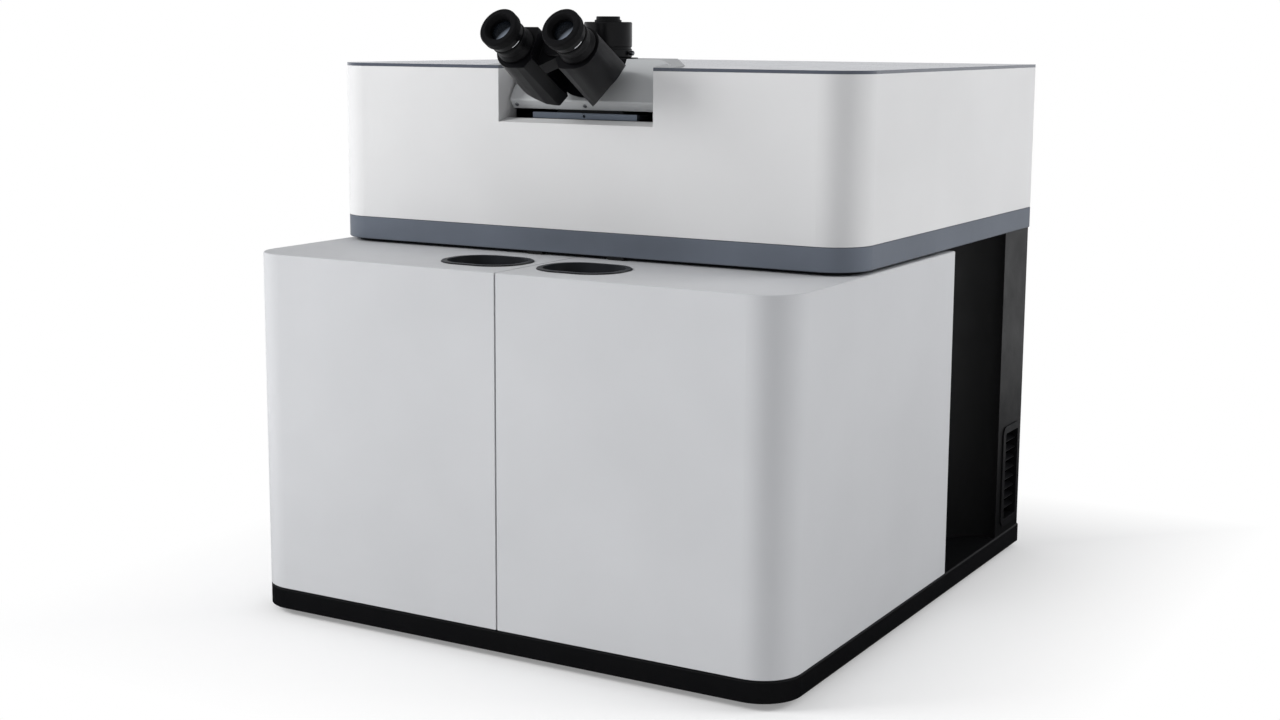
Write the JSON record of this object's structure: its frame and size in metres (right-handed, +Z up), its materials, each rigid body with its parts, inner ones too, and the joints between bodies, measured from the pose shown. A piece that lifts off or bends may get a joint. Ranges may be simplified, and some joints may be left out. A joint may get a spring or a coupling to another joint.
{
  "type": "raman microscope",
  "caption": "Bench Raman microscope: sample chamber behind two wrap-round doors, thick dark optics plate, upper housing with a notch for a folding binocular head and photo tube.",
  "frame": {"origin": "middle of the instrument's outline, on the bench under the feet", "axes": "+X to the instrument's own right as seen from the front, +Y from the front to the back, +Z up"},
  "size_m": [0.6, 0.642, 0.612],
  "materials": {
    "light_paint": "fine-textured light grey powder coat",
    "dark_paint": "fine-textured black powder coat",
    "plinth_black": "cast, fine-textured black powder coat",
    "housing_paint": "fine-textured light grey powder coat",
    "band_metal": "dark anodised, satin",
    "lid_gloss": "dark blue-grey gloss lacquer",
    "cowl_paint": "smooth satin grey",
    "head_black": "fine-textured black",
    "eyepiece_black": "black anodised, satin",
    "soft_rubber": "matt",
    "lens_glass": "polished, coated",
    "cup_plastic": "moulded, matt",
    "machine_aluminium": "fine-milled",
    "black_anodised": "black anodised",
    "steel": "turned, bright",
    "motor_black": "matt black",
    "zinc_steel": "zinc plated",
    "black_plastic": "moulded, matt",
    "foam": "black foam",
    "objective_metal": "satin chrome",
    "slider_metal": "grey anodised"
  },
  "bodies": {
    "chassis": {"plinth": "plinth_black", "rubber_feet": "soft_rubber", "rear_cabinet": "dark_paint", "side_vents": "black_plastic", "rear_panel": "dark_paint", "rear_panel_screws": "steel", "mains_inlet": "black_plastic", "power_switch_frame": "black_plastic", "data_port": "steel", "fan_frame": "black_plastic", "fan_guard": "zinc_steel", "power_supply": "machine_aluminium", "door_hinge_pins": "steel", "door_catches": "black_plastic", "light_seal": "foam", "frame_posts": "black_anodised", "focus_column": "black_anodised", "z_motor": "motor_black", "nosepiece_mount": "black_anodised", "optical_base_plate": "band_metal", "upper_housing": "housing_paint", "lid": "lid_gloss", "cowl": "cowl_paint", "cowl_screws": "steel", "beam_tower": "black_anodised", "spectrograph_case": "black_anodised", "mirror_mounts": "black_anodised", "grating_drive": "black_anodised", "detector_camera": "motor_black", "laser_modules": "machine_aluminium", "head_body": "head_black", "photo_tube": "head_black", "photo_cap": "black_plastic", "photo_lock_screw": "steel"},
    "door_right": {"door_right": "light_paint", "finger_cup_right": "cup_plastic"},
    "door_left": {"door_left": "light_paint", "finger_cup_left": "cup_plastic"},
    "power_rocker": {"power_rocker": "black_plastic"},
    "fan_rotor": {"fan_rotor": "black_plastic"},
    "z_stage": {"z_carriage": "machine_aluminium", "y_motor": "motor_black"},
    "y_stage": {"y_carriage": "black_anodised", "x_motor": "motor_black"},
    "x_stage": {"x_carriage": "black_anodised", "sample_holder": "machine_aluminium"},
    "turret": {"nosepiece_turret": "eyepiece_black", "objectives": "objective_metal"},
    "filter_slider": {"filter_slider": "slider_metal"},
    "grating_turret": {"grating_turret": "machine_aluminium"},
    "prism_right": {"prism_housing_right": "head_black", "eyepiece_right": "eyepiece_black", "eye_lens_right": "lens_glass", "eyecup_right": "soft_rubber"},
    "prism_left": {"prism_housing_left": "head_black", "eyepiece_left": "eyepiece_black", "eye_lens_left": "lens_glass", "eyecup_left": "soft_rubber"},
    "diopter_right": {"diopter_ring_right": "eyepiece_black"},
    "diopter_left": {"diopter_ring_left": "eyepiece_black"}
  },
  "joints": [
    {"name": "door_right_hinge", "type": "hinge", "parent": "chassis", "child": "door_right", "pos_m": [0.283, 0.06, 0.2], "axis": [0, 0, 1], "range_deg": [0, 95]},
    {"name": "door_left_hinge", "type": "hinge", "parent": "chassis", "child": "door_left", "pos_m": [-0.283, 0.06, 0.2], "axis": [0, 0, -1], "range_deg": [0, 95]},
    {"name": "power_rocker_tilt", "type": "hinge", "parent": "chassis", "child": "power_rocker", "pos_m": [-0.16, 0.312, 0.08], "axis": [1, 0, 0], "range_deg": [-24, 0]},
    {"name": "fan_spin", "type": "hinge", "parent": "chassis", "child": "fan_rotor", "pos_m": [0.12, 0.304, 0.13], "axis": [0, 1, 0], "continuous": true},
    {"name": "focus_slide", "type": "slide", "parent": "chassis", "child": "z_stage", "axis": [0, 0, 1], "range_m": [-0.035, 0.0015]},
    {"name": "stage_y_slide", "type": "slide", "parent": "z_stage", "child": "y_stage", "axis": [0, 1, 0], "range_m": [-0.025, 0.025]},
    {"name": "stage_x_slide", "type": "slide", "parent": "y_stage", "child": "x_stage", "axis": [1, 0, 0], "range_m": [-0.035, 0.035]},
    {"name": "turret_turn", "type": "hinge", "parent": "chassis", "child": "turret", "pos_m": [0, -0.118, 0.42319], "axis": [0, 0.2588, -0.9659], "continuous": true},
    {"name": "filter_slide", "type": "slide", "parent": "chassis", "child": "filter_slider", "axis": [1, 0, 0], "range_m": [-0.025, 0.025]},
    {"name": "grating_turn", "type": "hinge", "parent": "chassis", "child": "grating_turret", "pos_m": [-0.18, -0.04, 0.44], "axis": [0, 0, 1], "continuous": true},
    {"name": "prism_right_swing", "type": "hinge", "parent": "chassis", "child": "prism_right", "pos_m": [0, -0.19954, 0.57161], "axis": [0, -0.866, 0.5], "range_deg": [-23.2, 16]},
    {"name": "prism_left_swing", "type": "hinge", "parent": "chassis", "child": "prism_left", "pos_m": [0, -0.19954, 0.57161], "axis": [0, -0.866, 0.5], "range_deg": [-16, 23.2]},
    {"name": "diopter_right_turn", "type": "hinge", "parent": "prism_right", "child": "diopter_right", "pos_m": [0.03465, -0.23862, 0.58193], "axis": [0, -0.866, 0.5], "range_deg": [-150, 150]},
    {"name": "diopter_left_turn", "type": "hinge", "parent": "prism_left", "child": "diopter_left", "pos_m": [-0.03465, -0.23862, 0.58193], "axis": [0, -0.866, 0.5], "range_deg": [-150, 150]}
  ],
  "couplings": [
    {"joint": "prism_left_swing", "follows": "prism_right_swing", "ratio": -1}
  ]
}
